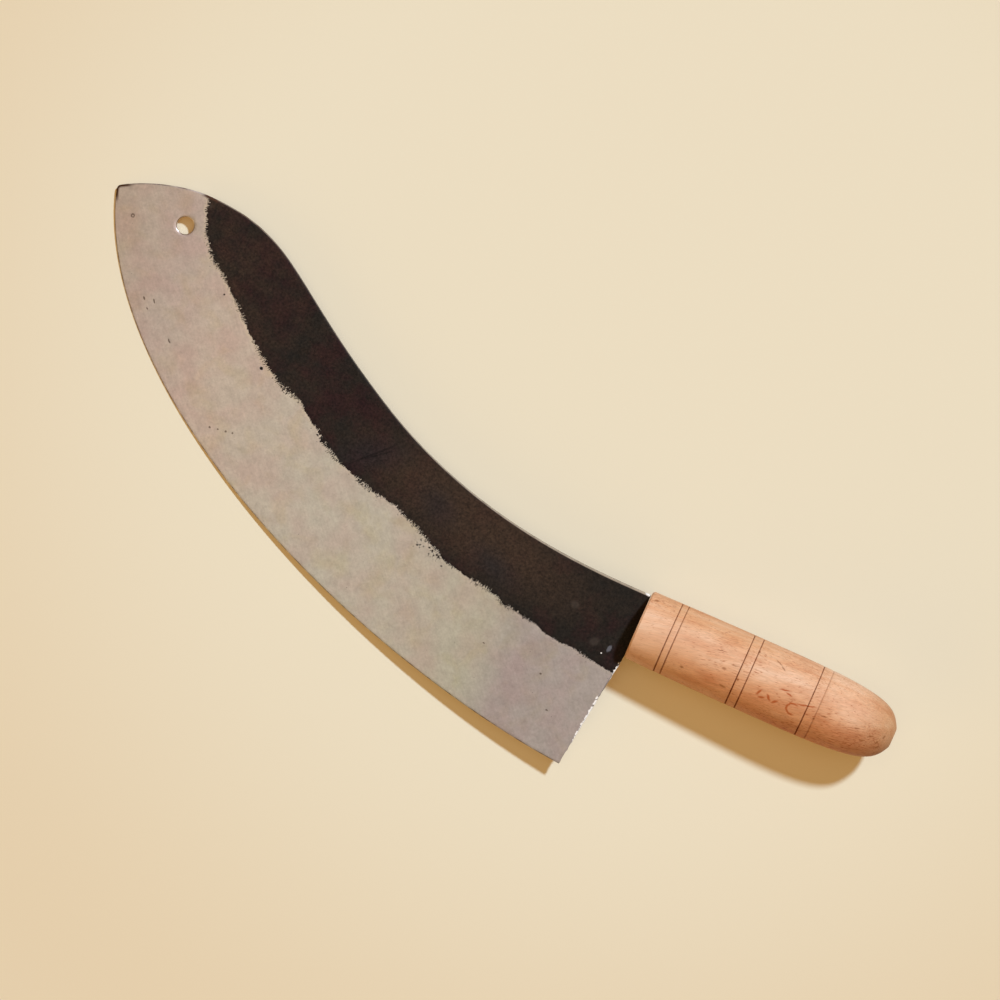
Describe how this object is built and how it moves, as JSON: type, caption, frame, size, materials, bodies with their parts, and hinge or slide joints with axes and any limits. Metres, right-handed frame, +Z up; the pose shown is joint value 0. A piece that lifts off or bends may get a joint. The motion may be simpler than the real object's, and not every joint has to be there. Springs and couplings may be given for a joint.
{
  "type": "mincing knife",
  "caption": "Forged mincing knife with a broad curved blade, black scaled back, bright ground edge, hanging hole in the nose and a turned beech handle with scored lines.",
  "frame": {"origin": "on the table under the middle of the knife as it lies on it, on the front rim of its handle and on its cutting edge", "axes": "+X along the handle from the tip end to the butt, +Y from the cutting edge to the back of the blade, +Z up from the table"},
  "size_m": [0.4192, 0.17, 0.039],
  "materials": {
    "carbon_steel": "ground matt along the edge, black forge scale along the back",
    "beech": "turned and sanded, bare",
    "bedding_resin": "poured, satin"
  },
  "bodies": {
    "root": {"blade": "carbon_steel", "handle": "beech", "tang_bedding": "bedding_resin"}
  },
  "joints": []
}
